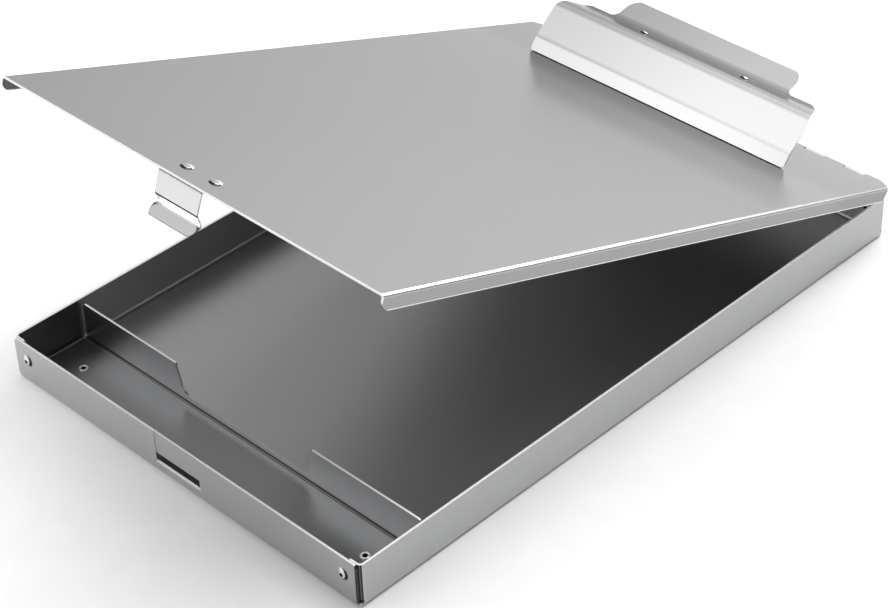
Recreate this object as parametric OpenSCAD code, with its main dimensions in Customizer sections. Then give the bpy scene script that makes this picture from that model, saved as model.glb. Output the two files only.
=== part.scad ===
// Storage clipboard box: a shallow folded-sheet tray with a pen compartment,
// and a hinged lid that is a writing plate with a spring clip.
// Millimetres. The origin is the middle of the tray's underside, +Z is up,
// +Y points to the hinge and -Y to the latch.

/* [Tray] */
// Outside width of the tray
tray_w = 236; // [200:1:260]
// Outside length of the tray
tray_l = 368; // [330:1:400]
// Height of the side and front walls
wall_h = 24; // [22:1:30]
// Thickness of the tray and lid sheet
sheet_t = 1.0; // [0.8:0.1:1.2]
// Outside radius of the tray's folded edges
fold_r = 2.5; // [2:0.1:3]
// Length of the tabs folded behind the end walls
tab_len = 20; // [14:1:30]

/* [Pen compartment] */
// Distance from the front wall to the divider
pen_depth = 40; // [34:1:60]
// Height of the divider's top edge
divider_h = 22.5; // [16:0.5:23]
// Width of the finger notch in the divider
notch_w = 93; // [50:1:120]
// Height of the notch's sill above the floor
notch_sill = 6.5; // [5:0.5:10]
// Distance of the eyelets from the middle
eyelet_x = 97; // [80:1:104]

/* [Hinge] */
// Height of the hinge axis
hinge_z = 30; // [28.5:0.5:33]
// Outside radius of the knuckles
knuckle_r = 2.2; // [2.1:0.1:2.6]
// Length of one knuckle, gap included
knuckle_pitch = 12.4; // [10:0.1:13]
// Angle that the lid stands open
lid_open = 20; // [2:0.5:100]

/* [Lid] */
// Outside width of the lid
lid_w = 244; // [242:0.5:250]
// Depth of the lid's side flanges
flange_d = 7.4; // [5:0.1:9]
// How far the lid's front edge passes the front wall
lid_over = 2.9; // [2.9:0.1:3.5]
// Chamfer on the lid's back corners, across the lid
lid_chamfer = 8; // [4:0.5:9]

/* [Latch] */
// Width of the latch at its top
latch_w = 28; // [20:1:29]
// Width of the slot that the latch catches in
slot_w = 30; // [30:1:34]
// Height of the slot
slot_h = 5; // [3.8:0.1:5.2]
// Height of the slot's middle
slot_z = 8.85; // [8.75:0.05:9.4]

/* [Clip] */
// Length of the clip jaw
jaw_w = 170; // [130:1:190]
// Width of the thumb lever
lever_w = 114; // [100:1:120]
// Distance from the hinge axis to the jaw's foot
jaw_s = 44.6; // [44:0.1:48]
// Thickness of the jaw sheet
jaw_t = 1.1; // [0.9:0.1:1.3]
// Spacing of the two rivets in the jaw
jaw_rivet_gap = 67; // [50:1:76]
// Angle that the jaw is held open
jaw_open = 0; // [0:1:26]

/* [Hidden] */

hw = tray_w / 2;
hl = tray_l / 2;
t = sheet_t;
ri = fold_r - t;
base_z = fold_r + 0.4;              // top of the folded bottom ring
tab_gap = 0.15;                     // air between end wall and tab
tab_y = hl - t - tab_gap;           // outer face of the tabs
wall_end = hw - 1.2;                // end walls stop just short of the corner
rivet_x = hw - 10;
rivet_z = 14.5;

hinge_y = hl - knuckle_r;           // knuckles are flush with the back wall
bore_r = knuckle_r - t;
pin_r = bore_r - 0.05;
knuckle_n = 8;                      // knuckles run from -8 to +8
hinge_half = (knuckle_n + 0.5) * knuckle_pitch;
comb_z = hinge_z - knuckle_r - 0.8; // back wall's top between its knuckles

lid_top = knuckle_r;                // lid frame: origin on the hinge axis
lid_bot = knuckle_r - t;
lid_front = hinge_y + hl + lid_over;
lid_back = -1.5;
hlw = lid_w / 2;

foil = 0.6;                         // latch leaf
steel = 1.2;                        // clip bracket sheet

rod_s = 20;                         // rod position, from the hinge axis
rod_h = 11;                         // and above the lid's top face
rod_r = 2.0;

alu = [0.76, 0.77, 0.78];
alu_bright = [0.86, 0.87, 0.88];
zinc = [0.62, 0.63, 0.65];
spring_steel = [0.45, 0.46, 0.48];

$fn = 64;

// ---------- general shapes ----------

function unit(v) = v / norm(v);
function perp(v) = [-v[1], v[0]];
function cross2(a, b) = a[0] * b[1] - a[1] * b[0];

// points of the fillet arc of radius r at corner b, moved off to the left of the path
function bend_arc(a, b, c, r, off) =
    let (u = unit(b - a), v = unit(c - b), side = cross2(u, v) > 0 ? 1 : -1,
         turn = acos(max(-1, min(1, u * v))),
         p = b - r * tan(turn / 2) * u, o = p + side * r * perp(u),
         rr = r - side * off, a0 = atan2(p[1] - o[1], p[0] - o[0]),
         n = max(2, ceil(turn / 6)))
    [for (i = [0:n]) o + rr * [cos(a0 + side * turn * i / n), sin(a0 + side * turn * i / n)]];

// one side of a bent sheet's outline
function strip_side(pts, rad, off) =
    let (n = len(pts), u0 = unit(pts[1] - pts[0]), u1 = unit(pts[n - 1] - pts[n - 2]))
    concat([pts[0] + off * perp(u0)],
           [for (i = [1:n - 2]) each bend_arc(pts[i - 1], pts[i], pts[i + 1], rad[i], off)],
           [pts[n - 1] + off * perp(u1)]);
function backwards(v) = [for (i = [len(v) - 1:-1:0]) v[i]];

// a sheet of thickness th bent along the centreline pts with radii rad
module sheet_strip(pts, rad, th)
    polygon(concat(strip_side(pts, rad, th / 2), backwards(strip_side(pts, rad, -th / 2))));

// a closed outline with each corner rounded by its own radius
module soft_outline(pts, rad) {
    n = len(pts);
    polygon([for (i = [0:n - 1]) each
        rad[i] > 0 ? bend_arc(pts[(i + n - 1) % n], pts[i], pts[(i + 1) % n], rad[i], 0) : [pts[i]]]);
}

// rectangle with rounded corners, centred
module round_rect(w, l, r) {
    square([w - 2 * r, l], center = true);
    square([w, l - 2 * r], center = true);
    for (x = [-1, 1], y = [-1, 1]) translate([x * (w / 2 - r), y * (l / 2 - r)]) circle(r = r);
}

// half-open tub profile: flat top at z=h, bottom corners rounded
module tub_profile(w, h, r) {
    translate([-w / 2, r]) square([w, h - r]);
    translate([-(w / 2 - r), 0]) square([w - 2 * r, r + 0.01]);
    for (x = [-1, 1]) translate([x * (w / 2 - r), r]) circle(r = r);
}

// solid tub with folded bottom edges and rounded plan corners
module tub(w, l, h, r) {
    intersection() {
        rotate([90, 0, 0]) linear_extrude(height = l + 2, center = true) tub_profile(w, h, r);
        rotate([90, 0, 90]) linear_extrude(height = w + 2, center = true) tub_profile(l, h, r);
        linear_extrude(height = h) round_rect(w, l, r);
    }
}

// dome head of a rivet, flat side on z=0
module dome(r, h) {
    sr = (r * r + h * h) / (2 * h);
    intersection() {
        translate([0, 0, h - sr]) sphere(r = sr, $fn = 72);
        cylinder(r = r, h = h + 1);
    }
}

// blind rivet along z: head above z=0, shank down to -grip, tail below
module blind_rivet(head_r, head_h, shank_r, grip, tail_r, tail_h, hole_r) {
    difference() {
        union() {
            dome(head_r, head_h);
            translate([0, 0, -grip - 0.02]) cylinder(r = shank_r, h = grip + 0.05);
            translate([0, 0, -grip - 0.02]) mirror([0, 0, 1]) dome(tail_r, tail_h);
        }
        if (hole_r > 0) translate([0, 0, head_h - 0.9]) cylinder(r = hole_r, h = 2);
    }
}

// moves children from the lid frame (hinge axis at the origin, lid level)
module on_lid() {
    translate([0, hinge_y, hinge_z]) rotate([-lid_open, 0, 0]) children();
}

// draws a 2D (forward, up) profile as a solid w long in X, centred on x
// up is measured from the lid's top face
module lid_profile(w, x = 0) {
    translate([x, 0, lid_top]) rotate([90, 0, -90]) linear_extrude(height = w, center = true) children();
}

// turns children about the clip's rod
module on_jaw() {
    translate([0, -rod_s, lid_top + rod_h]) rotate([-jaw_open, 0, 0])
        translate([0, rod_s, -lid_top - rod_h]) children();
}

// ---------- tray ----------

// outline of an end wall, seen square on: x across, y up
module end_wall_outline(top, back) {
    r = 2.6;
    translate([-wall_end, base_z - 0.01]) square([2 * wall_end, wall_h - r - base_z + 0.01]);
    translate([-(wall_end - r), base_z]) square([2 * (wall_end - r), wall_h - base_z]);
    for (x = [-1, 1]) translate([x * (wall_end - r), wall_h - r]) circle(r = r);
    if (back) {
        rr = 1.5;
        translate([-hinge_half, wall_h - 1]) square([2 * hinge_half, comb_z - wall_h + 1 - rr]);
        translate([-hinge_half + rr, wall_h - 1]) square([2 * (hinge_half - rr), comb_z - wall_h + 1]);
        for (x = [-1, 1]) translate([x * (hinge_half - rr), comb_z - rr]) circle(r = rr);
    }
}

module tray_knuckle(k) {
    w = knuckle_pitch - 0.3;
    x0 = k * knuckle_pitch - w / 2;
    // profile in y,z: the wall's tab runs up and rolls inward round the pin
    translate([x0, 0, 0]) rotate([90, 0, 90]) linear_extrude(height = w) {
        translate([hl - t, comb_z - 1.5]) square([t, hinge_z - comb_z + 1.5]);
        translate([hinge_y, hinge_z]) intersection() {
            difference() {
                circle(r = knuckle_r, $fn = 96);
                circle(r = bore_r, $fn = 96);
            }
            // the roll stops just short of the tab
            union() {
                translate([-4, 0]) square([8, 4]);
                translate([-4, -4]) square([4.0, 4.01]);
                polygon([[0, 0], [-0.1, -4], [2.2, -4]]);
            }
        }
    }
}

// tabs folded from the side walls, behind both end walls
module corner_tab(sx, sy) {
    cx = hw - fold_r;
    cy = tab_y - fold_r;
    // vertical fold
    translate([0, 0, base_z - 0.01]) linear_extrude(height = wall_h - base_z + 0.01)
        intersection() {
            translate([sx * cx, sy * cy]) difference() {
                circle(r = fold_r);
                circle(r = ri);
            }
            translate([sx * (cx + fold_r / 2 + 0.5), sy * (cy + fold_r / 2 + 0.5)])
                square([fold_r + 1, fold_r + 1], center = true);
        }
    // flat of the tab, its top sloping down to the free end
    translate([0, sy * (tab_y - t / 2), 0]) rotate([90, 0, 0])
        linear_extrude(height = t, center = true) mirror([sx > 0 ? 0 : 1, 0])
            soft_outline([[cx, base_z + 0.4], [cx, wall_h], [hw - 7, wall_h], [hw - tab_len, 12], [hw - tab_len, base_z + 0.4]],
                         [0, 0, 3, 3, 1.5]);
}

module tray_shell() color(alu) {
    difference() {
        union() {
            // folded bottom ring and floor
            difference() {
                tub(tray_w, tray_l, base_z, fold_r);
                translate([0, 0, t]) tub(tray_w - 2 * t, tray_l - 2 * t, base_z + 5, ri);
            }
            // side walls
            for (s = [-1, 1])
                translate([s * (hw - t / 2), 0, (wall_h + base_z) / 2 - 0.005])
                    cube([t, 2 * (tab_y - fold_r), wall_h - base_z + 0.01], center = true);
            // front wall
            translate([0, -hl + t / 2, 0]) rotate([90, 0, 0])
                linear_extrude(height = t, center = true) end_wall_outline(wall_h, false);
            // back wall with its comb
            translate([0, hl - t / 2, 0]) rotate([90, 0, 0])
                linear_extrude(height = t, center = true) end_wall_outline(comb_z, true);
            for (sx = [-1, 1], sy = [-1, 1]) corner_tab(sx, sy);
            for (k = [-knuckle_n:2:knuckle_n]) tray_knuckle(k);
        }
        // latch slot and the shallow recess above it
        translate([0, -hl, slot_z]) cube([slot_w, 6, slot_h], center = true);
        translate([-slot_w / 2, -hl - 1, slot_z]) cube([slot_w, 1.25, wall_h]);
        // rivet holes in the end walls and their tabs
        for (sx = [-1, 1], sy = [-1, 1])
            translate([sx * rivet_x, sy * hl, rivet_z]) rotate([90, 0, 0])
                cylinder(r = 1.65, h = 8, center = true);
        // eyelet holes in the floor
        for (sx = [-1, 1]) translate([sx * eyelet_x, -hl + pen_depth * 0.575, -1]) cylinder(r = 1.65, h = 4);
    }
}

module end_rivets(sy) color(zinc) {
    for (sx = [-1, 1])
        translate([sx * rivet_x, sy * (hl + 0.02), rivet_z]) rotate([sy < 0 ? 90 : -90, 0, 0])
            blind_rivet(3.15, 1.15, 1.6, 2 * t + tab_gap + 0.04, 2.4, 1.3, 0.95);
}
module front_corner_rivets() end_rivets(-1);
module back_corner_rivets() end_rivets(1);

module hinge_pin() color(zinc) {
    translate([0, hinge_y, hinge_z]) rotate([0, 90, 0])
        cylinder(r = pin_r, h = 2 * hinge_half + 1.0, center = true);
}

// ---------- pen compartment ----------

div_y = -hl + pen_depth;
module notch_outline() {
    r = 5;
    top = divider_h + 5;
    hn = notch_w / 2;
    polygon([[-hn + 2.5, notch_sill + r], [hn - 2.5, notch_sill + r], [hn, divider_h - 2], [hn, top], [-hn, top], [-hn, divider_h - 2]]);
    translate([-hn + 2.5 + r, notch_sill]) square([2 * (hn - 2.5 - r), r + 0.01]);
    for (x = [-1, 1]) translate([x * (hn - 2.5 - r), notch_sill + r]) circle(r = r);
}
module pen_divider() color(alu) {
    half = hw - fold_r - 0.3;
    z0 = t + 0.02;
    front = -hl + fold_r + 0.3;
    difference() {
        // L profile in y,z, extruded across the tray
        rotate([90, 0, 90]) linear_extrude(height = 2 * half, center = true)
            sheet_strip([[front, z0 + t / 2], [div_y + t / 2, z0 + t / 2], [div_y + t / 2, divider_h]],
                        [0, 1.7, 0], t);
        // finger notch
        translate([0, div_y, 0]) rotate([90, 0, 0]) linear_extrude(height = 8, center = true)
            notch_outline();
        // rounded top corners
        for (x = [-1, 1]) translate([x * half, div_y, divider_h]) rotate([90, 0, 0])
            linear_extrude(height = 8, center = true) difference() {
                square([4, 4], center = true);
                translate([-x * 2, -2]) circle(r = 2);
                translate([-x * 2 - 2, -4]) square([4, 2]);
            }
        // front corners of the flange step back round the tabs
        for (x = [-1, 1]) translate([x * (half - tab_len / 2 + 1), front, 2]) cube([tab_len + 2, 2.4, 4], center = true);
        for (x = [-1, 1]) translate([x * eyelet_x, -hl + pen_depth * 0.575, -1]) cylinder(r = 1.65, h = 5);
    }
}
module divider_eyelets() color(zinc) {
    for (x = [-1, 1]) translate([x * eyelet_x, -hl + pen_depth * 0.575, 0]) {
        rotate_extrude() {
            translate([1.15, 0.08]) square([0.45, 2 * t + 0.3]);
            intersection() {
                translate([1.85, 2 * t + 0.05]) circle(r = 0.68, $fn = 32);
                translate([0, 2 * t + 0.05]) square([4, 2]);
            }
        }
    }
}

// ---------- lid (drawn level in the lid frame, y = minus the forward distance) ----------

module lid_section() {
    // seen along the lid: panel with a folded flange on each side
    r = 2.0;
    difference() {
        intersection() {
            union() {
                translate([-hlw + r, lid_top - flange_d]) square([lid_w - 2 * r, flange_d]);
                translate([-hlw, lid_top - flange_d]) square([lid_w, flange_d - r]);
                for (x = [-1, 1]) translate([x * (hlw - r), lid_top - r]) circle(r = r);
            }
            translate([-hlw, lid_top - flange_d]) square([lid_w, flange_d]);
        }
        translate([-hlw + r, lid_top - flange_d - 1]) square([lid_w - 2 * r, flange_d - t + 1]);
        translate([-hlw + t, lid_top - flange_d - 1]) square([lid_w - 2 * t, flange_d - r + 1]);
        for (x = [-1, 1]) translate([x * (hlw - r), lid_top - r]) circle(r = r - t);
    }
}
module lid_side() {
    // seen from the side (forward, up): trims the flanges' ends
    r = 5;
    s0 = lid_back;
    h0 = lid_top - flange_d;
    translate([s0, lid_bot - 0.6]) square([lid_front - s0, t + 1.6]);
    translate([5.8, h0]) square([lid_front - 5.8 - r, flange_d]);
    translate([lid_front - r - 0.01, h0 + r]) square([r + 0.01, flange_d - r]);
    translate([lid_front - r, h0 + r]) circle(r = r);
    polygon([[5.81, h0], [5.81, lid_top], [3.4, lid_top], [3.4, lid_bot - 0.6]]);
}
module lid_plan() {
    // seen from above: x across, y up; back corners chamfered
    c = lid_chamfer;
    polygon([[-hlw, -lid_front], [hlw, -lid_front], [hlw, -lid_back - 5], [hlw - c, -lid_back],
             [-hlw + c, -lid_back], [-hlw, -lid_back - 5]]);
}
module lid_knuckle(k) {
    w = knuckle_pitch - 0.3;
    translate([k * knuckle_pitch, 0, 0]) rotate([90, 0, 90]) linear_extrude(height = w, center = true) {
        translate([-4, lid_bot]) square([4, t]);
        intersection() {
            difference() {
                circle(r = knuckle_r, $fn = 96);
                circle(r = bore_r, $fn = 96);
            }
            // the roll runs over the back and ends under the panel
            union() {
                translate([0, -4]) square([4, 8]);
                translate([-4, -4]) square([4.01, 4]);
                polygon([[0, 0], [-4, 0.1], [-4, -2]]);
            }
        }
    }
}
latch_s = lid_front - 12;            // rivet line of the latch
latch_x = 9.2;                       // rivets' distance from the middle
base_rivets = [[-30, 12], [30, 12], [-30, 29], [30, 29]];
module lid_panel() color(alu) on_lid() {
    difference() {
        intersection() {
            translate([0, 10 - (lid_front + 20) / 2, 0]) rotate([90, 0, 0])
                linear_extrude(height = lid_front + 40, center = true) lid_section();
            rotate([90, 0, -90]) linear_extrude(height = lid_w + 2, center = true) lid_side();
            translate([0, 0, -20]) linear_extrude(height = 40) lid_plan();
        }
        // the panel is cut back along the hinge
        translate([-hinge_half - 0.2, -3.0, -5]) cube([2 * hinge_half + 0.4, 10, 10]);
        for (x = [-latch_x, latch_x]) translate([x, -latch_s, 0]) cylinder(r = 1.65, h = 8, center = true);
        for (p = base_rivets) translate([p[0], -p[1], 0]) cylinder(r = 1.65, h = 8, center = true);
    }
    for (k = [-knuckle_n + 1:2:knuckle_n - 1]) lid_knuckle(k);
}

// ---------- latch ----------

// everything in the lid frame (forward, up from the lid's top face)
latch_face = lid_front - 0.45;       // middle of the leaf's thickness at its top
latch_bend_h = -t - foil / 2 - 0.8;
module latch_foot() color(alu_bright) on_lid() {
    difference() {
        lid_profile(latch_w) {
            sheet_strip([[lid_front - 18, -t - 0.02 - foil / 2], [latch_face, -t - 0.02 - foil / 2],
                         [latch_face, latch_bend_h]], [0, 0.7, 0], foil);
        }
        for (x = [-latch_x, latch_x]) translate([x, -latch_s, 0]) cylinder(r = 1.65, h = 12, center = true);
        for (x = [-1, 1]) translate([x * latch_w / 2, -lid_front + 18, 0]) rotate([0, 0, 45])
            cube([3.6, 3.6, 12], center = true);
    }
}
module latch_tongue() color(alu_bright) on_lid() {
    pl = [latch_face, latch_bend_h - 0.12];
    intersection() {
        lid_profile(latch_w + 4)
            sheet_strip([pl, [latch_face + 0.1, -12.3], [latch_face - 3.1, -16.1],
                         [latch_face + 2.7, -21.6]], [0, 0.7, 0.9, 0], foil);
        // front outline: slight taper, then a rounded finger tab
        translate([0, -lid_front + 8, lid_top]) rotate([90, 0, 0]) linear_extrude(height = 20) {
            hwt = latch_w / 2;
            soft_outline([[-hwt, 0], [-hwt + 0.6, -15.8], [-hwt - 0.6, -17.4], [-hwt - 0.6, -21.7],
                          [hwt + 0.6, -21.7], [hwt + 0.6, -17.4], [hwt - 0.6, -15.8], [hwt, 0]],
                         [0, 0.8, 1.2, 3.8, 3.8, 1.2, 0.8, 0]);
        }
    }
}
module latch_rivets() color(zinc) on_lid() {
    for (x = [-latch_x, latch_x]) translate([x, -latch_s, lid_top + 0.02])
        blind_rivet(3.3, 1.2, 1.6, t + foil + 0.06, 2.4, 0.9, 0);
}

// ---------- clip ----------

jaw_pts = [[jaw_s - 0.4, 0.25], [jaw_s - 2.9, 7.2], [jaw_s - 14.2, 27.1], [jaw_s - 28.1, 25.2], [1.9, 34.8]];
jaw_rad = [0, 6, 5.5, 4.0, 0];
flange_a = atan2(jaw_pts[2][1] - jaw_pts[3][1], jaw_pts[2][0] - jaw_pts[3][0]);
rivet_s = 19.6;
function flange_h(s) = jaw_pts[3][1] + (s - jaw_pts[3][0]) * tan(flange_a);

module jaw_plan() {
    hj = jaw_w / 2;
    hv = lever_w / 2;
    e = jaw_pts[3][0] - 1.2;         // back edge of the flange
    l = 1.9;                         // back edge of the lever
    c = 8.5;                         // the flange narrows towards its ends
    f = jaw_pts[2][0] + 2.8;
    soft_outline([[-hj, -60], [hj, -60], [hj, -f], [hj - c, -e], [hv, -e], [hv, -l], [-hv, -l], [-hv, -e],
                  [-hj + c, -e], [-hj, -f]],
                 [0, 0, 6, 6, 4, 7, 7, 4, 6, 6]);
}
module jaw_front() {
    // seen from the front: lower corners slightly rounded
    hj = jaw_w / 2;
    soft_outline([[-hj, 0], [hj, 0], [hj, 60], [-hj, 60]], [2.5, 2.5, 0, 0]);
}
module clip_jaw() color(alu_bright) on_lid() on_jaw() {
    difference() {
        intersection() {
            lid_profile(jaw_w) sheet_strip(jaw_pts, jaw_rad, jaw_t);
            translate([0, 0, -5]) linear_extrude(height = 60) jaw_plan();
            translate([0, 0, lid_top]) rotate([90, 0, 0]) linear_extrude(height = 120, center = true) jaw_front();
        }
        for (x = [-1, 1]) at_jaw_rivet(x) cylinder(r = 1.55, h = 10, center = true);
    }
}
// a frame on the flange's top face at a rivet
module at_jaw_rivet(x) {
    translate([x * jaw_rivet_gap / 2, -rivet_s, lid_top + flange_h(rivet_s)]) rotate([-flange_a, 0, 0])
        translate([0, 0, jaw_t / 2]) children();
}
module jaw_rivets() color(zinc) on_lid() on_jaw() {
    for (x = [-1, 1]) at_jaw_rivet(x) translate([0, 0, 0.02])
        blind_rivet(2.5, 1.0, 1.5, jaw_t + steel + 0.06, 2.2, 0.9, 0);
}

ear_in = 42.8;                       // jaw ears' inner face
ear_out = 45.0;                      // base ears' inner face
module jaw_bracket() color(zinc) on_lid() on_jaw() {
    difference() {
        union() {
            // plate under the flange
            at_jaw_plate() translate([0, 0, -steel / 2])
                cube([2 * (ear_in + steel), 8.6, steel], center = true);
            // ears down to the rod, a little narrower than the plate
            for (x = [-1, 1]) lid_profile(steel, x * (ear_in + steel / 2)) {
                translate([rod_s, rod_h]) circle(r = 4.2);
                c = [rivet_s, flange_h(rivet_s)];
                along = [cos(flange_a), sin(flange_a)];
                mid = c - (jaw_t / 2 + 0.02 + steel * 0.4) * [-sin(flange_a), cos(flange_a)];
                polygon([[rod_s - 3.9, rod_h], [rod_s + 3.9, rod_h], mid + 3.8 * along, mid - 3.8 * along]);
            }
        }
        translate([0, -rod_s, lid_top + rod_h]) rotate([0, 90, 0]) cylinder(r = rod_r + 0.05, h = 120, center = true);
        for (x = [-1, 1]) at_jaw_rivet(x) cylinder(r = 1.55, h = 10, center = true);
    }
}
module at_jaw_plate() {
    translate([0, -rivet_s, lid_top + flange_h(rivet_s)]) rotate([-flange_a, 0, 0])
        translate([0, 0, -jaw_t / 2 - 0.02]) children();
}

module clip_base() color(zinc) on_lid() {
    z0 = 0.02;
    difference() {
        union() {
            // plate on the lid
            translate([0, -20.5, lid_top + z0]) linear_extrude(height = steel)
                round_rect(2 * (ear_out + steel), 27, 3);
            // ears
            for (x = [-1, 1]) lid_profile(steel, x * (ear_out + steel / 2)) {
                translate([rod_s, rod_h]) circle(r = 4.2);
                polygon([[rod_s - 4.2, rod_h], [rod_s - 8.5, z0 + 0.4], [rod_s + 8.5, z0 + 0.4], [rod_s + 4.2, rod_h]]);
            }
        }
        translate([0, -rod_s, lid_top + rod_h]) rotate([0, 90, 0]) cylinder(r = rod_r + 0.05, h = 120, center = true);
        for (p = base_rivets) translate([p[0], -p[1], lid_top]) cylinder(r = 1.65, h = 8, center = true);
    }
}
module clip_base_rivets() color(zinc) on_lid() {
    for (p = base_rivets) translate([p[0], -p[1], lid_top + steel + 0.04])
        blind_rivet(3.0, 1.1, 1.6, t + steel + 0.08, 2.4, 1.0, 0);
}
module clip_rod() color(zinc) on_lid() {
    translate([0, -rod_s, lid_top + rod_h]) rotate([0, 90, 0])
        cylinder(r = rod_r, h = 2 * (ear_out + steel) + 2.6, center = true);
}
module clip_rod_caps() color(spring_steel) on_lid() {
    for (x = [-1, 1]) translate([x * (ear_out + steel + 0.05), -rod_s, lid_top + rod_h])
        rotate([0, x * 90, 0]) difference() {
            union() {
                cylinder(r = 3.8, h = 0.8);
                dome(3.2, 2.4);
            }
            translate([0, 0, -0.1]) cylinder(r = rod_r + 0.02, h = 1.42);
        }
}

// torsion spring: coil round the rod, one arm on the base, one under the flange
spring_r = 3.3;
wire = 1.2;
spring_x = 31;                       // middle of the coil
spring_half = 5.4;
module torsion_spring() {
    translate([0, -rod_s, lid_top + rod_h]) {
        // coil, turns touching
        translate([spring_x, 0, 0]) rotate([0, 90, 0]) difference() {
            cylinder(r = spring_r + wire / 2, h = 2 * spring_half, center = true);
            cylinder(r = spring_r - wire / 2, h = 2 * spring_half + 1, center = true);
        }
        // arm to the base, forward and down from the front of the coil
        translate([spring_x + spring_half - wire / 2, 0, 0])
            rotate([150, 0, 0]) translate([0, spring_r - 0.1, 0])
                cylinder(r = wire / 2 - 0.05, h = 12.4);
        // arm to the flange, back and up
        translate([spring_x - spring_half + wire / 2, 0, 0])
            rotate([57, 0, 0]) rotate([-90, 0, 0]) translate([0, -spring_r + 0.1, 0])
                cylinder(r = wire / 2 - 0.05, h = 11.6);
    }
}
module clip_spring_left() color(spring_steel) on_lid() on_jaw() mirror([1, 0, 0]) torsion_spring();
module clip_spring_right() color(spring_steel) on_lid() on_jaw() torsion_spring();

// ---------- drawing ----------

tray_shell();
front_corner_rivets();
back_corner_rivets();
pen_divider();
divider_eyelets();
hinge_pin();
lid_panel();
latch_foot();
latch_tongue();
latch_rivets();
clip_base();
clip_base_rivets();
clip_rod();
clip_rod_caps();
clip_spring_left();
clip_spring_right();
clip_jaw();
jaw_bracket();
jaw_rivets();
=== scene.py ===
import math

import bpy
from mathutils import Matrix, Vector


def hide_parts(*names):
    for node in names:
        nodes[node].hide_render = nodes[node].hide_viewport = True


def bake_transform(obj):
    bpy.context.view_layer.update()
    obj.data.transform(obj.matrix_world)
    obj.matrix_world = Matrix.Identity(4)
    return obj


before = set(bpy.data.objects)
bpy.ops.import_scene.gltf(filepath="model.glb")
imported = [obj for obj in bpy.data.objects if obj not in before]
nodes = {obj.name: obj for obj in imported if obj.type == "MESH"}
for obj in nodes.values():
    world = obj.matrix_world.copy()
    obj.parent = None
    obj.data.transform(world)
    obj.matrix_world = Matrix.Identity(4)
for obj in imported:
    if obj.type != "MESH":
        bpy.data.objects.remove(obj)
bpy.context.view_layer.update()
scene = bpy.context.scene
MM = 0.001


# ------------------------------------------------------------------ camera
def make_camera():
    az, el, roll = math.radians(45.81), math.radians(37.12), math.radians(-2.235)
    dist, focal_px = 1.18866, 2512.04
    target = Vector((0.022296, -0.033805, 0.030))
    back = Vector((math.sin(az) * math.cos(el), -math.cos(az) * math.cos(el), math.sin(el)))
    right = Vector((math.cos(az), math.sin(az), 0))
    up = back.cross(right)
    ax = math.cos(roll) * right + math.sin(roll) * up
    ay = -math.sin(roll) * right + math.cos(roll) * up
    data = bpy.data.cameras.new("photo_camera")
    data.sensor_fit = "HORIZONTAL"
    data.sensor_width = 36.0
    data.lens = focal_px * 36.0 / 891.0
    data.clip_start, data.clip_end = 0.05, 50.0
    cam = bpy.data.objects.new("photo_camera", data)
    place = target + back * dist
    cam.matrix_world = Matrix((
        (ax.x, ay.x, back.x, place.x),
        (ax.y, ay.y, back.y, place.y),
        (ax.z, ay.z, back.z, place.z),
        (0, 0, 0, 1)))
    scene.collection.objects.link(cam)
    scene.camera = cam


make_camera()


# ------------------------------------------------------------------ lid frame, as the CAD draws it
LID_OPEN = math.radians(20.0)
HINGE = Vector((0, 181.8, 30.0)) * MM
FWD = Vector((0, -math.cos(LID_OPEN), math.sin(LID_OPEN)))
UP = Vector((0, math.sin(LID_OPEN), math.cos(LID_OPEN)))
LID_TOP = 2.2


def on_lid(x, s, h):
    """mm: across, forward from the hinge axis, up from the lid's top face -> metres in the row frame"""
    return HINGE + Vector((x, 0, 0)) * MM + FWD * (s * MM) + UP * ((h + LID_TOP) * MM)


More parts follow.
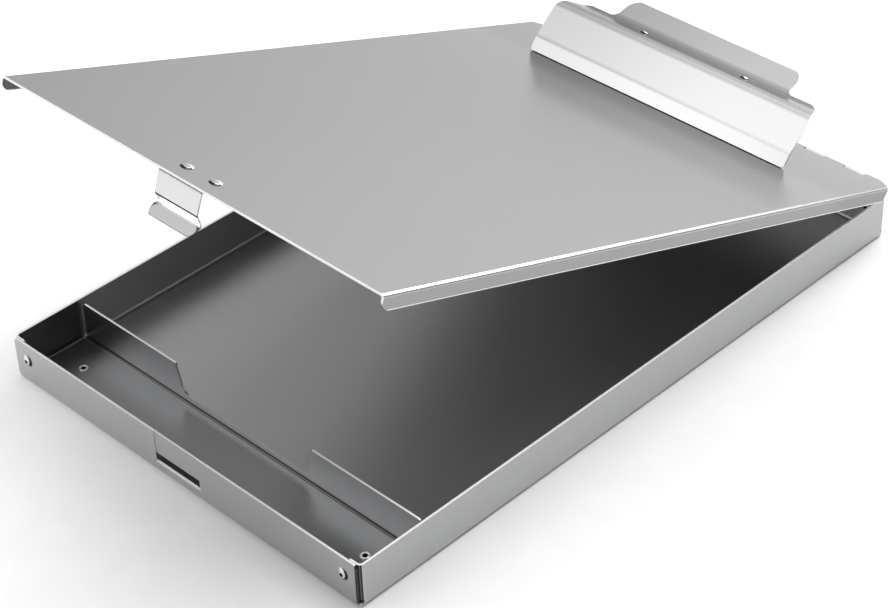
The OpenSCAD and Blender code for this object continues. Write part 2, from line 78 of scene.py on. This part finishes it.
# ------------------------------------------------------------------ materials
class Nodes:
    """Small helper to write node trees."""

    def __init__(self, name):
        self.mat = bpy.data.materials.new(name)
        self.mat.use_nodes = True
        self.t = self.mat.node_tree
        self.t.nodes.clear()
        self.out = self.new("ShaderNodeOutputMaterial")
        self.bsdf = self.new("ShaderNodeBsdfPrincipled")
        self.link(self.bsdf.outputs[0], self.out.inputs["Surface"])
        self.coord = self.new("ShaderNodeTexCoord")

    def new(self, kind, **kw):
        n = self.t.nodes.new(kind)
        for k, v in kw.items():
            setattr(n, k, v)
        return n

    def link(self, a, b):
        self.t.links.new(a, b)

    def put(self, socket, value):
        if isinstance(value, bpy.types.NodeSocket):
            self.link(value, socket)
        else:
            socket.default_value = value

    def math(self, op, a, b=0.0, c=0.0, clamp=False):
        n = self.new("ShaderNodeMath", operation=op, use_clamp=clamp)
        self.put(n.inputs[0], a)
        self.put(n.inputs[1], b)
        if op in ("MULTIPLY_ADD", "SMOOTH_MIN", "SMOOTH_MAX"):
            self.put(n.inputs[2], c)
        return n.outputs[0]

    def dot(self, v, direction):
        n = self.new("ShaderNodeVectorMath", operation="DOT_PRODUCT")
        self.put(n.inputs[0], v)
        self.put(n.inputs[1], tuple(direction))
        return n.outputs["Value"]

    def noise(self, scale, detail=2.0, rough=0.5, stretch=(1, 1, 1), seed=0.0):
        m = self.new("ShaderNodeMapping")
        m.inputs["Scale"].default_value = stretch
        m.inputs["Location"].default_value = (seed, seed * 0.7, seed * 1.3)
        self.link(self.coord.outputs["Object"], m.inputs["Vector"])
        n = self.new("ShaderNodeTexNoise")
        n.inputs["Scale"].default_value = scale
        n.inputs["Detail"].default_value = detail
        n.inputs["Roughness"].default_value = rough
        self.link(m.outputs[0], n.inputs["Vector"])
        return n.outputs["Fac"]

    def span(self, v, a0, a1, b0, b1, smooth=False):
        n = self.new("ShaderNodeMapRange")
        if smooth:
            n.interpolation_type = "SMOOTHSTEP"
        self.put(n.inputs["Value"], v)
        for k, x in (("From Min", a0), ("From Max", a1), ("To Min", b0), ("To Max", b1)):
            self.put(n.inputs[k], x)
        return n.outputs["Result"]

    def mix(self, f, a, b):
        n = self.new("ShaderNodeMix", data_type="RGBA")
        self.put(n.inputs["Factor"], f)
        for s, v in ((n.inputs[6], a), (n.inputs[7], b)):
            if isinstance(v, (tuple, list)):
                s.default_value = (*v[:3], 1)
            else:
                self.link(v, s)
        return n.outputs[2]

    def bump(self, height, strength, distance, under=None):
        n = self.new("ShaderNodeBump")
        n.inputs["Strength"].default_value = strength
        n.inputs["Distance"].default_value = distance
        self.link(height, n.inputs["Height"])
        if under is not None:
            self.link(under, n.inputs["Normal"])
        return n.outputs["Normal"]


def scaled(c, k):
    return tuple(min(1.0, x * k) for x in c)


EDGE = (0.96, 0.962, 0.965)


def metal(name, base, rough, grain=0.0005, grain_amount=0.05, cloud=0.04, cloud_scale=11.0,
          lines=0.0, line_dir="Y", bump=0.12, edge=None, shade=None, metallic=1.0, seed=0.0, rough_var=0.05):
    """Satin sheet: a fine grain, faint rolling lines and cloudy patches. edge says where it is sheared:
    there it is matt and bright. shade gives a factor of painted shade and painted dark reflections: below 1 the colour
    goes towards near black."""
    n = Nodes(name)
    b = n.bsdf
    fine = n.noise(1.0 / grain, 2.0, 0.6, seed=seed)
    patches = n.noise(cloud_scale, 3.0, 0.55, seed=seed + 3.1)
    tone = n.math("ADD", n.math("MULTIPLY", n.math("SUBTRACT", fine, 0.5), grain_amount * 2),
                  n.math("MULTIPLY", n.math("SUBTRACT", patches, 0.5), cloud * 2))
    height = fine
    if lines > 0:
        along = {"X": (0.02, 1, 1), "Y": (1, 0.02, 1), "Z": (1, 1, 0.02)}[line_dir]
        rolled = n.noise(900.0, 3.0, 0.65, stretch=along, seed=seed + 7.7)
        tone = n.math("ADD", tone, n.math("MULTIPLY", n.math("SUBTRACT", rolled, 0.5), lines * 2))
        height = n.math("ADD", n.math("MULTIPLY", fine, 0.6), n.math("MULTIPLY", rolled, 0.6))
    factor = n.math("ADD", n.math("MULTIPLY", tone, 2.0), 0.5, clamp=True)
    colour = n.mix(factor, scaled(base, 0.75), scaled(base, 1.25))
    r = n.math("ADD", rough, n.math("MULTIPLY", n.math("SUBTRACT", patches, 0.5), rough_var * 2))
    r = n.math("ADD", r, n.math("MULTIPLY", n.math("SUBTRACT", fine, 0.5), rough_var), clamp=True)
    # painted shade and painted reflections: the colour goes towards near black where the shade factor is low
    if shade is not None:
        colour = n.mix(shade(n), (0.03, 0.03, 0.032), colour)
    if edge is not None:
        mask = edge(n)
        colour = n.mix(mask, colour, EDGE)
        r = n.span(mask, 0.0, 1.0, r, 0.42)
        n.link(n.span(mask, 0.0, 1.0, metallic, 0.05), b.inputs["Metallic"])
    else:
        b.inputs["Metallic"].default_value = metallic
    n.link(colour, b.inputs["Base Color"])
    n.link(r, b.inputs["Roughness"])
    n.link(n.bump(height, bump, 0.00002), b.inputs["Normal"])
    return n.mat


def above(n, direction, level, soft=0.00004):
    """1 where the point's distance along direction passes level"""
    d = n.dot(n.coord.outputs["Object"], direction)
    return n.span(d, level - soft, level + soft, 0.0, 1.0)


def box_mask(n, lo, hi, soft=0.00004):
    """1 inside an upright box in the row frame, x taken on both sides"""
    sep = n.new("ShaderNodeSeparateXYZ")
    n.link(n.coord.outputs["Object"], sep.inputs[0])
    parts = []
    for axis, a, b in zip("XYZ", lo, hi):
        v = sep.outputs[axis]
        if a is not None:
            parts.append(n.span(v, a - soft, a + soft, 0.0, 1.0))
        if b is not None:
            parts.append(n.span(v, b - soft, b + soft, 1.0, 0.0))
    total = parts[0]
    for q in parts[1:]:
        total = n.math("MULTIPLY", total, q)
    return total


SLOT_LOW = 0.00635


def tray_edge(n):
    lip = box_mask(n, (-0.0151, None, SLOT_LOW - 0.00050), (0.0151, -0.1826, SLOT_LOW + 0.00010))
    rim = n.math("MULTIPLY", above(n, (0, 0, 1), 0.02386), above(n, (0, 0, -1), -0.0243))
    knuckle_painted_highlight = n.math("MULTIPLY", above(n, (0, 0, 1), 0.0312, soft=0.0005), 0.45)    # painted highlight on the tops of the hinge's knuckles
    return n.math("MAXIMUM", n.math("MAXIMUM", rim, lip), knuckle_painted_highlight)


def divider_edge(n):
    return above(n, (0, 0, 1), 0.02236)


LID_FRONT = 368.7


def lid_edge(n):
    front = above(n, FWD, FWD.dot(HINGE) + (LID_FRONT - 0.2) * MM)
    low = above(n, -UP, -(UP.dot(HINGE)) + (7.4 - LID_TOP - 0.42) * MM)
    return n.math("MAXIMUM", front, low)


def pen_compartment_painted_shade(n):
    """painted shade on the sheet round the pens, most of all at the left, and darkest on the floor behind the slot"""
    sep = n.new("ShaderNodeSeparateXYZ")
    n.link(n.coord.outputs["Object"], sep.inputs[0])
    here = box_mask(n, (-0.1174, -0.1831, 0.0009), (0.1174, -0.1455, 0.0238), soft=0.0001)
    level = n.span(sep.outputs["X"], -0.115, 0.10, PEN_PAINTED_SHADE[0], PEN_PAINTED_SHADE[1], smooth=True)
    # painted shade on the floor just behind the slot
    slot_painted_shade = n.math("MULTIPLY", n.span(n.math("ABSOLUTE", sep.outputs["X"]), 0.018, 0.030, 1.0, 0.0, smooth=True),
                    n.span(sep.outputs["Y"], -0.172, -0.166, 1.0, 0.0, smooth=True))
    slot_painted_shade = n.math("MULTIPLY", slot_painted_shade, n.span(sep.outputs["Z"], 0.010, 0.014, 1.0, 0.0, smooth=True))
    level = n.math("MULTIPLY", level, n.span(slot_painted_shade, 0.0, 1.0, 1.0, 0.03))
    return n.span(here, 0.0, 1.0, 1.0, level)


def divider_painted_shade(n):
    """painted shade as round the pens, and a painted shade line along the fold at the divider's foot"""
    sep = n.new("ShaderNodeSeparateXYZ")
    n.link(n.coord.outputs["Object"], sep.inputs[0])
    y = n.math("ADD", sep.outputs["Y"], 0.1440)
    z = n.math("SUBTRACT", sep.outputs["Z"], 0.0020)
    far = n.math("SQRT", n.math("ADD", n.math("MULTIPLY", y, y), n.math("MULTIPLY", z, z)))
    return n.math("MULTIPLY", pen_compartment_painted_shade(n), n.span(far, 0.0009, 0.0016, 0.16, 1.0))


def corner_fold_painted_shade(n):
    """painted dark reflections in streaks on the tight upright fold of the tray's near corner, on top of the painted
    shade round the pens
    """
    sep = n.new("ShaderNodeSeparateXYZ")
    n.link(n.coord.outputs["Object"], sep.inputs[0])
    dx = n.math("SUBTRACT", sep.outputs["X"], 0.1155)
    dy = n.math("SUBTRACT", n.math("MULTIPLY", sep.outputs["Y"], -1.0), 0.18035)
    turn = n.math("DIVIDE", n.math("ARCTAN2", dx, dy), math.pi / 2)
    ramp = n.new("ShaderNodeValToRGB")
    stops = [(0.0, 0.0), (0.30, 0.0), (0.36, 0.34), (0.44, 0.36), (0.49, 0.0), (0.62, 0.0), (0.70, 1.0)]
    cr = ramp.color_ramp
    while len(cr.elements) < len(stops):
        cr.elements.new(0.5)
    for el, (q, v) in zip(cr.elements, stops):
        el.position = q
        el.color = (v, v, v, 1)
    n.link(turn, ramp.inputs[0])
    here = n.math("MULTIPLY", n.span(dx, 0.0, 0.0001, 0.0, 1.0), n.span(dy, 0.0, 0.0001, 0.0, 1.0))
    here = n.math("MULTIPLY", here, n.span(sep.outputs["Z"], 0.0012, 0.0032, 0.0, 1.0))
    folds = n.span(here, 0.0, 1.0, 1.0, n.math("MULTIPLY", ramp.outputs[0], 1.0))
    return n.math("MULTIPLY", folds, pen_compartment_painted_shade(n))


def lid_place(n):
    """mm forward of the hinge axis and above the lid's top face"""
    p = n.coord.outputs["Object"]
    fwd = n.math("MULTIPLY", n.math("SUBTRACT", n.dot(p, FWD), FWD.dot(HINGE)), 1000.0)
    up = n.math("MULTIPLY_ADD", n.math("SUBTRACT", n.dot(p, UP), UP.dot(HINGE)), 1000.0, -LID_TOP)
    return fwd, up


def latch_painted_shade(n):
    """painted shade in the leaf's bends, under the lid's edge and along its sides, a painted dark line round the tab's
    outline, and the leaf above the lower bend painted a little darker
    """
    fwd, up = lid_place(n)
    sep = n.new("ShaderNodeSeparateXYZ")
    n.link(n.coord.outputs["Object"], sep.inputs[0])
    ax = n.math("MULTIPLY", n.math("ABSOLUTE", sep.outputs["X"]), 1000.0)
    bend = n.span(n.math("ABSOLUTE", n.math("ADD", up, 12.35)), 0.42, 0.58, 0.0, 1.0)
    crease = n.span(n.math("ABSOLUTE", n.math("ADD", up, 14.55)), 0.20, 0.42, 0.45, 1.0)
    top = n.span(up, -1.95, -1.6, 1.0, 0.12)
    side = n.span(n.math("MULTIPLY_ADD", up, -0.038, ax), 13.72 - 0.12, 13.72 + 0.12, 1.0, 0.55)
    side = n.span(n.span(up, -15.6, -15.4, 0.0, 1.0), 0.0, 1.0, 1.0, side)
    # painted dark outline round the tab, in across and down along it
    down = n.math("MULTIPLY", n.math("ADD", up, 19.2), 1.5)
    qx = n.math("MAXIMUM", n.math("SUBTRACT", ax, 14.6 - 3.6), 0.0)
    qy = n.math("ABSOLUTE", down)
    far = n.math("SQRT", n.math("ADD", n.math("MULTIPLY", qx, qx), n.math("MULTIPLY", qy, qy)))
    rim = n.span(far, 3.02, 3.27, 1.0, 0.12)
    rim = n.span(n.span(up, -17.3, -17.0, 1.0, 0.0), 0.0, 1.0, 1.0, rim)
    total = bend
    for q in (crease, top, side, rim, n.span(up, -12.4, -12.2, 1.0, 0.90)):
        total = n.math("MULTIPLY", total, q)
    return total


def jaw_painted_shade(n):
    """painted shade: the flange and the lever darker than the face, the face painted lighter to the right, its foot
    band darker, and its lower bend a soft painted shade line that fades the same way"""
    fwd, up = lid_place(n)
    sep = n.new("ShaderNodeSeparateXYZ")
    n.link(n.coord.outputs["Object"], sep.inputs[0])
    x = sep.outputs["X"]
    flange = n.math("MULTIPLY", n.span(fwd, 27.0, 30.5, FLANGE_PAINTED_SHADE, 1.0, smooth=True), 1.0)
    lever = n.span(fwd, 12.5, 15.5, LEVER_PAINTED_SHADE, 1.0, smooth=True)
    lever = n.math("DIVIDE", lever, n.span(fwd, 12.5, 15.5, FLANGE_PAINTED_SHADE, 1.0))
    back = n.span(n.span(up, 20.5, 22.5, 0.0, 1.0), 0.0, 1.0, 1.0, n.math("MULTIPLY", flange, lever))
    fold = n.span(n.math("ABSOLUTE", n.math("SUBTRACT", up, 8.0)), 0.0, 1.5, 1.0, 0.0, smooth=True)
    fold = n.math("MULTIPLY", fold, n.span(x, -0.09, 0.08, 0.20, 0.05))
    face = n.span(x, -0.09, 0.05, JAW_LEFT_PAINTED_SHADE, 1.0, smooth=True)
    foot = n.span(up, 7.0, 8.6, 1.0, 0.0, smooth=True)
    face = n.span(foot, 0.0, 1.0, face, n.span(x, -0.09, 0.05, 0.50, 0.68, smooth=True))
    return n.math("MULTIPLY", n.math("MULTIPLY", back, face), n.math("SUBTRACT", 1.0, fold))


def lid_painted_shade(n):
    """painted shade: the outer faces of the lid's flanges darker than its top, and the top a little darker at the back
    """
    sep = n.new("ShaderNodeSeparateXYZ")
    n.link(n.coord.outputs["Object"], sep.inputs[0])
    fwd, up = lid_place(n)
    side = n.span(n.math("ABSOLUTE", sep.outputs["X"]), LID_SIDE - 0.0002, LID_SIDE - 0.00005, 0.0, 1.0)
    side = n.math("MULTIPLY", side, n.span(up, -1.6, -0.9, 1.0, 0.0))
    back = n.span(fwd, 36.0, 56.0, 0.90, 1.0, smooth=True)
    return n.math("MULTIPLY", back, n.span(side, 0.0, 1.0, 1.0, SIDE_PAINTED_SHADE))


def rivet_painted_shade(across, along, centres, shift, radius, bore=0.0):
    """a painted shadow crescent round one side of each head: outside a circle that is shifted off its centre; with
    bore, painted shade in the hole as well
    """
    def nearest(n, sx, sy):
        p = n.coord.outputs["Object"]
        total = None
        for cx, cy in centres:
            u = n.math("SUBTRACT", n.dot(p, across), cx + sx)
            v = n.math("SUBTRACT", n.dot(p, along), cy + sy)
            far = n.math("SQRT", n.math("ADD", n.math("MULTIPLY", u, u), n.math("MULTIPLY", v, v)))
            total = far if total is None else n.math("MINIMUM", total, far)
        return total

    def shade(n):
        dark = n.span(nearest(n, shift[0], shift[1]), radius - 0.00012, radius + 0.00012, 1.0, 0.0)
        if bore > 0:
            dark = n.math("MULTIPLY", dark, n.span(nearest(n, 0.0, 0.0), bore, bore + 0.0002, 0.0, 1.0))
        return dark
    return shade


# strengths of the painted shade round the pens, on the jaw's flange, lever and left end, and on the lid's flanges
PEN_PAINTED_SHADE = (0.46, 0.70)
FLANGE_PAINTED_SHADE = 0.48
LEVER_PAINTED_SHADE = 0.88
JAW_LEFT_PAINTED_SHADE = 0.74
LID_SIDE = 0.122
EYELET_Y = -0.161
SIDE_PAINTED_SHADE = 0.60
TRAY = (0.46, 0.465, 0.47)
LID = (0.52, 0.522, 0.522)
CLIP = (0.76, 0.763, 0.767)
LATCH = (0.96, 0.962, 0.965)

mat_tray = metal("tray_sheet", TRAY, 0.34, grain=0.0008, grain_amount=0.045, cloud=0.02, lines=0.012,
                 bump=0.16, edge=tray_edge, shade=corner_fold_painted_shade)
mat_divider = metal("divider_sheet", TRAY, 0.32, grain=0.0008, grain_amount=0.04, cloud=0.02, lines=0.012, line_dir="X",
                    bump=0.14, edge=divider_edge, shade=divider_painted_shade, seed=4.0)
mat_lid = metal("lid_sheet", LID, 0.20, grain=0.0007, grain_amount=0.012, cloud=0.02, lines=0.006,
                bump=0.06, edge=lid_edge, shade=lid_painted_shade, seed=9.0, rough_var=0.03)
mat_clip = metal("clip_sheet", CLIP, 0.28, grain=0.0006, grain_amount=0.015, cloud=0.02, lines=0.014, line_dir="X",
                 bump=0.04, shade=jaw_painted_shade, seed=2.0, rough_var=0.04)
mat_latch = metal("latch_leaf", LATCH, 0.24, grain=0.0004, grain_amount=0.02, cloud=0.02, lines=0.01, line_dir="X",
                  bump=0.08, shade=latch_painted_shade, seed=5.0)
mat_rivet = metal("rivets", (0.72, 0.73, 0.74), 0.2, grain=0.0003, grain_amount=0.03, cloud=0.05, cloud_scale=300,
                  bump=0.08, seed=6.0)
mat_corner_rivet = metal("corner_rivets", (0.70, 0.705, 0.71), 0.18, grain=0.0003, grain_amount=0.03, cloud=0.05,
                         cloud_scale=300, bump=0.06, seed=6.5,
                         shade=rivet_painted_shade((1, 0, 0), (0, 0, 1), [(-0.108, 0.0145), (0.108, 0.0145)],
                                          (-0.0006, 0.0004), 0.0026, bore=0.0009))
mat_lid_rivet = metal("latch_rivet_heads", (0.80, 0.805, 0.81), 0.2, grain=0.0003, grain_amount=0.03, cloud=0.05,
                      cloud_scale=300, bump=0.06, seed=6.8,
                      shade=rivet_painted_shade((1, 0, 0), FWD, [(-0.0092, FWD.dot(HINGE) + (LID_FRONT - 12) * MM),
                                                        (0.0092, FWD.dot(HINGE) + (LID_FRONT - 12) * MM)],
                                       (0.0001, -0.0006), 0.0029))
mat_eyelet = metal("eyelets", (0.95, 0.952, 0.955), 0.3, grain=0.0003, grain_amount=0.03, cloud=0.03, cloud_scale=300,
                   bump=0.06, seed=7.1, metallic=0.6,
                   shade=rivet_painted_shade((1, 0, 0), (0, 1, 0), [(-0.097, EYELET_Y), (0.097, EYELET_Y)], (0.0, 0.0), 0.009,
                                    bore=0.0012))
mat_jaw_rivet = metal("jaw_rivet_heads", (0.85, 0.855, 0.86), 0.2, grain=0.0003, grain_amount=0.03, cloud=0.05,
                      cloud_scale=300, bump=0.06, seed=7.4,
                      shade=rivet_painted_shade((1, 0, 0), FWD, [(-0.0335, FWD.dot(HINGE) + 19.6 * MM),
                                                        (0.0335, FWD.dot(HINGE) + 19.6 * MM)],
                                       (0.0005, -0.0004), 0.0016))
mat_steel = metal("steel_pins", (0.60, 0.61, 0.63), 0.26, grain=0.0002, grain_amount=0.05, cloud=0.04, cloud_scale=120,
                  lines=0.03, line_dir="X", bump=0.1, seed=11.0)
mat_zinc = metal("zinc_steel", (0.58, 0.60, 0.62), 0.3, grain=0.0015, grain_amount=0.06, cloud=0.05, cloud_scale=60,
                 bump=0.08, seed=12.0)
mat_spring = metal("spring_wire", (0.36, 0.37, 0.39), 0.28, grain=0.0002, grain_amount=0.06, cloud=0.05, cloud_scale=90,
                   bump=0.1, seed=13.0)
mat_polish = metal("broken_edge", (0.94, 0.942, 0.945), 0.36, grain=0.0004, grain_amount=0.02, cloud=0.02, cloud_scale=60,
                   bump=0.06, seed=14.0, metallic=0.15)

FINISH = {
    "tray_shell": mat_tray, "pen_divider": mat_divider, "lid_panel": mat_lid,
    "clip_jaw": mat_clip, "latch_foot": mat_latch, "latch_tongue": mat_latch,
    "hinge_pin": mat_steel, "clip_rod": mat_steel, "clip_rod_caps": mat_steel,
    "clip_base": mat_zinc, "jaw_bracket": mat_zinc,
    "clip_spring_left": mat_spring, "clip_spring_right": mat_spring,
    "front_corner_rivets": mat_corner_rivet, "back_corner_rivets": mat_corner_rivet,
    "latch_rivets": mat_lid_rivet, "divider_eyelets": mat_eyelet, "jaw_rivets": mat_jaw_rivet,
}
SHEETS = {"tray_shell": 0.16, "pen_divider": 0.14, "lid_panel": 0.14, "clip_jaw": 0.16, "latch_foot": 0.07,
          "latch_tongue": 0.07, "clip_base": 0.14, "jaw_bracket": 0.14}

for name, obj in nodes.items():
    while len(obj.material_slots) < 2:
        obj.data.materials.append(None)
    obj.material_slots[0].link = "OBJECT"
    obj.material_slots[0].material = FINISH.get(name, mat_rivet)
    obj.material_slots[1].link = "OBJECT"
    obj.material_slots[1].material = mat_polish
    if name in SHEETS:
        weld = obj.modifiers.new("weld", "WELD")
        weld.merge_threshold = 1e-6
        bev = obj.modifiers.new("edges", "BEVEL")
        bev.width = SHEETS[name] * MM
        bev.segments = 2
        bev.limit_method = "ANGLE"
        bev.angle_limit = math.radians(40)
        bev.use_clamp_overlap = True
        bev.material = 1
        bev.miter_outer = "MITER_ARC"
        wn = obj.modifiers.new("normals", "WEIGHTED_NORMAL")
        wn.keep_sharp = True
        wn.weight = 80


# ------------------------------------------------------------------ torsion springs, wound wire
def tube(name, path, radius, sides=10):
    """a closed wire along path, with rounded ends"""
    pts = [Vector(p) for p in path]
    n = len(pts)
    tang = [(pts[min(i + 1, n - 1)] - pts[max(i - 1, 0)]).normalized() for i in range(n)]
    ref = tang[0].orthogonal().normalized()
    frames = []
    for t in tang:
        ref = (ref - t * ref.dot(t)).normalized()
        frames.append((ref.copy(), t.cross(ref).normalized()))
    rings = []
    ends = [(0.35, 0.93), (0.8, 0.6), (1.0, 0.0)]
    for k, along in ends[:2]:
        rings.append((pts[0] - tang[0] * radius * along * 0.6, k, 0))
    for i in range(n):
        rings.append((pts[i], 1.0, i))
    for k, along in reversed(ends[:2]):
        rings.append((pts[-1] + tang[-1] * radius * along * 0.6, k, n - 1))
    verts, faces = [], []
    for c, k, i in rings:
        u, v = frames[i]
        for s in range(sides):
            a = 2 * math.pi * s / sides
            verts.append(c + (u * math.cos(a) + v * math.sin(a)) * radius * k)
    for r in range(len(rings) - 1):
        for s in range(sides):
            a, b = r * sides + s, r * sides + (s + 1) % sides
            faces.append((a, b, b + sides, a + sides))
    faces.append(tuple(reversed(range(sides))))
    last = (len(rings) - 1) * sides
    faces.append(tuple(last + s for s in range(sides)))
    mesh = bpy.data.meshes.new(name)
    mesh.from_pydata([tuple(v) for v in verts], [], faces)
    mesh.polygons.foreach_set("use_smooth", [True] * len(mesh.polygons))
    mesh.update()
    obj = bpy.data.objects.new(name, mesh)
    scene.collection.objects.link(obj)
    return obj


ROD = on_lid(0, 20, 11)
COIL_R, WIRE_R = 3.3, 0.6


def coil_point(x, f, u):
    return ROD + Vector((x * MM, 0, 0)) + FWD * (f * MM) + UP * (u * MM)


def wound_spring(side, name, node):
    """flange arm at the inner end, coil outward, base arm at the outer end"""
    x0, x1 = 31 - 5.4 + 0.62, 31 + 5.4 - 0.62
    turns = 7
    a_in, a_out = math.radians(33), math.radians(30) - 2 * math.pi * turns
    path = []
    f, u = COIL_R * math.cos(a_in), COIL_R * math.sin(a_in)
    df, du = -math.sin(a_in), math.cos(a_in)
    for d in (11.4, 9.0, 6.5, 4.0, 2.0, 0.8):
        path.append(coil_point(side * x0, f + df * d, u + du * d))
    steps = turns * 28
    for i in range(steps + 1):
        q = i / steps
        a = a_in + (a_out - a_in) * q
        path.append(coil_point(side * (x0 + (x1 - x0) * q), COIL_R * math.cos(a), COIL_R * math.sin(a)))
    f, u = COIL_R * math.cos(a_out), COIL_R * math.sin(a_out)
    df, du = math.sin(a_out), -math.cos(a_out)
    for d in (0.8, 2.0, 4.0, 6.5, 9.5, 12.2):
        path.append(coil_point(side * x1, f + df * d, u + du * d))
    obj = tube(name, path, WIRE_R * MM)
    obj.data.materials.append(mat_spring)
    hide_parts(node)
    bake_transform(obj)
    return obj


wound_spring(1, "wound_spring_right", "clip_spring_right")
wound_spring(-1, "wound_spring_left", "clip_spring_left")


# ------------------------------------------------------------------ stage
def floor_material():
    n = Nodes("floor_paper")
    fine = n.noise(60.0, 3.0, 0.5)
    paper = n.mix(n.span(fine, 0.3, 0.7, 0.0, 1.0), (0.82, 0.82, 0.82), (0.84, 0.84, 0.84))
    # painted shade: the paper turns grey far off to the back-left, out of view, so that the lid mirrors a darker floor
    floor_painted_shade = n.dot(n.coord.outputs["Object"], (-0.717, 0.697, 0))
    n.link(n.mix(n.span(floor_painted_shade, 0.36, 0.62, 0.0, 1.0, smooth=True), paper, (0.40, 0.40, 0.40)), n.bsdf.inputs["Base Color"])
    sep = n.new("ShaderNodeSeparateXYZ")
    n.link(n.coord.outputs["Object"], sep.inputs[0])
    # painted light: the floor glows more towards the left, where the lid's shadow falls
    n.link(n.span(sep.outputs["X"], 0.08, -0.20, 0.0, 0.26, smooth=True), n.bsdf.inputs["Emission Strength"])
    n.bsdf.inputs["Emission Color"].default_value = (1, 1, 1, 1)
    n.bsdf.inputs["Roughness"].default_value = 0.9
    n.bsdf.inputs["Specular IOR Level"].default_value = 0.1
    return n.mat


def make_floor():
    mesh = bpy.data.meshes.new("floor")
    h, z = 6.0, -0.0004
    mesh.from_pydata([(-h, -h, z), (h, -h, z), (h, h, z), (-h, h, z)], [], [(0, 1, 2, 3)])
    obj = bpy.data.objects.new("floor", mesh)
    obj.data.materials.append(floor_material())
    scene.collection.objects.link(obj)


def area(name, at, look, w, h, power):
    data = bpy.data.lights.new(name, "AREA")
    data.shape = "RECTANGLE"
    data.size, data.size_y, data.energy = w, h, power
    obj = bpy.data.objects.new(name, data)
    obj.location = at
    obj.rotation_mode = "QUATERNION"
    obj.rotation_quaternion = (Vector(look) - Vector(at)).to_track_quat("-Z", "Y")
    scene.collection.objects.link(obj)


def make_world():
    """a studio: a pale band round the horizon, a dim ceiling and soft panels where the sheets mirror them"""
    w = bpy.data.worlds.new("studio")
    scene.world = w
    w.use_nodes = True
    t = w.node_tree
    t.nodes.clear()
    out = t.nodes.new("ShaderNodeOutputWorld")
    bg = t.nodes.new("ShaderNodeBackground")
    coord = t.nodes.new("ShaderNodeTexCoord")
    sep = t.nodes.new("ShaderNodeSeparateXYZ")
    ramp = t.nodes.new("ShaderNodeValToRGB")
    t.links.new(coord.outputs["Generated"], sep.inputs[0])
    t.links.new(sep.outputs["Z"], ramp.inputs[0])
    stops = [(0.0, 0.50), (0.10, 0.53), (0.28, 0.45), (0.45, 0.34), (1.0, 0.34)]
    cr = ramp.color_ramp
    cr.interpolation = "EASE"
    while len(cr.elements) < len(stops):
        cr.elements.new(0.5)
    for el, (p, v) in zip(cr.elements, stops):
        el.position = p
        el.color = (v, v, v, 1)
    total = ramp.outputs[0]
    for direction, inner, outer, gain in PANELS:
        d = Vector(direction).normalized()
        dot = t.nodes.new("ShaderNodeVectorMath")
        dot.operation = "DOT_PRODUCT"
        t.links.new(coord.outputs["Generated"], dot.inputs[0])
        dot.inputs[1].default_value = tuple(d)
        span = t.nodes.new("ShaderNodeMapRange")
        span.interpolation_type = "SMOOTHSTEP"
        span.inputs["From Min"].default_value = math.cos(math.radians(outer))
        span.inputs["From Max"].default_value = math.cos(math.radians(inner))
        span.inputs["To Min"].default_value = 0.0
        span.inputs["To Max"].default_value = gain
        t.links.new(dot.outputs["Value"], span.inputs["Value"])
        add = t.nodes.new("ShaderNodeMath")
        add.operation = "ADD"
        t.links.new(total, add.inputs[0])
        t.links.new(span.outputs["Result"], add.inputs[1])
        total = add.outputs[0]
    t.links.new(total, bg.inputs[0])
    bg.inputs["Strength"].default_value = 1.0
    t.links.new(bg.outputs[0], out.inputs[0])


# direction, angle where it is full, angle where it has faded, strength
PANELS = [
    ((-0.28, -0.50, 0.82), 6, 34, 0.73),      # seen in the jaw's face
    ((-0.573, -0.82, 0.05), 14, 36, 0.66),    # in the jaw's foot and the latch
    ((-0.573, -0.58, 0.58), 6, 20, 0.62),     # in the latch's tab
    ((-0.573, 0.228, 0.787), 10, 28, 0.34),   # in the thumb lever
    ((-0.34, 0.36, 0.87), 5, 22, 0.20),       # in the jaw, as the lid mirrors it
    ((-0.38, 0.87, 0.30), 8, 30, 0.44),       # in the lid
    ((0.12, 0.97, 0.20), 5, 13, 1.0),         # in the lid's right-hand bend and the hinge
]
make_floor()
make_world()
area("key_top", (0.38, 0.60, 1.95), (0, 0, 0.03), 1.3, 1.3, 34)
area("fill_left", (-0.60, -0.55, 0.45), (-0.12, -0.22, 0.0), 0.42, 0.42, 0.7)
area("strip_back", (0.1, 1.6, 0.75), (0, 0, 0.05), 1.4, 0.3, 8)
scene.view_settings.view_transform = "Standard"
